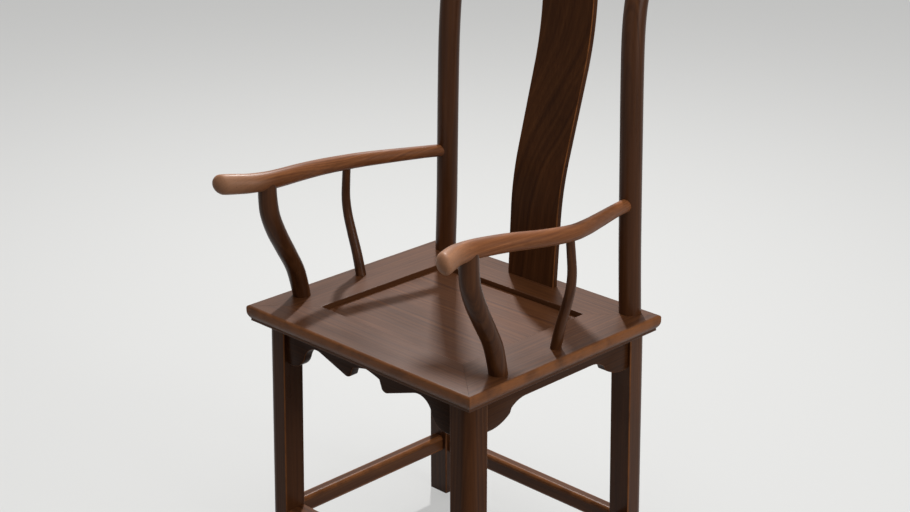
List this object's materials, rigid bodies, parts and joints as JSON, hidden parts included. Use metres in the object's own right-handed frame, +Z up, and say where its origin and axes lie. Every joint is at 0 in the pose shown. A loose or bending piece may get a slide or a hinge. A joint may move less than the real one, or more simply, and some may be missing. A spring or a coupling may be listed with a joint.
{
  "type": "official hat chair",
  "caption": "Yoke-back armchair in dark hardwood with an S-curved splat, open serpentine arms, a framed panel seat, shaped aprons and a footrest",
  "frame": {"origin": "on the floor, under the centre of the chair's outer box", "axes": "+Z up; the sitter faces -Y; +X is the sitter's left"},
  "size_m": [0.587, 0.6248, 1.1925],
  "materials": {
    "hardwood": "satin"
  },
  "bodies": {
    "root": {"crest_rail": "hardwood", "back_splat": "hardwood", "back_post_left": "hardwood", "back_post_right": "hardwood", "armrest_left": "hardwood", "armrest_right": "hardwood", "gooseneck_left": "hardwood", "gooseneck_right": "hardwood", "side_post_left": "hardwood", "side_post_right": "hardwood", "seat_rail_front": "hardwood", "seat_rail_back": "hardwood", "seat_rail_left": "hardwood", "seat_rail_right": "hardwood", "seat_panel": "hardwood", "seat_batten_left": "hardwood", "seat_batten_right": "hardwood", "front_leg_left": "hardwood", "front_leg_right": "hardwood", "front_apron": "hardwood", "back_apron": "hardwood", "side_apron_left": "hardwood", "side_apron_right": "hardwood", "stretcher_front": "hardwood", "stretcher_back": "hardwood", "stretcher_left": "hardwood", "stretcher_right": "hardwood", "footrest_apron": "hardwood"}
  },
  "joints": []
}
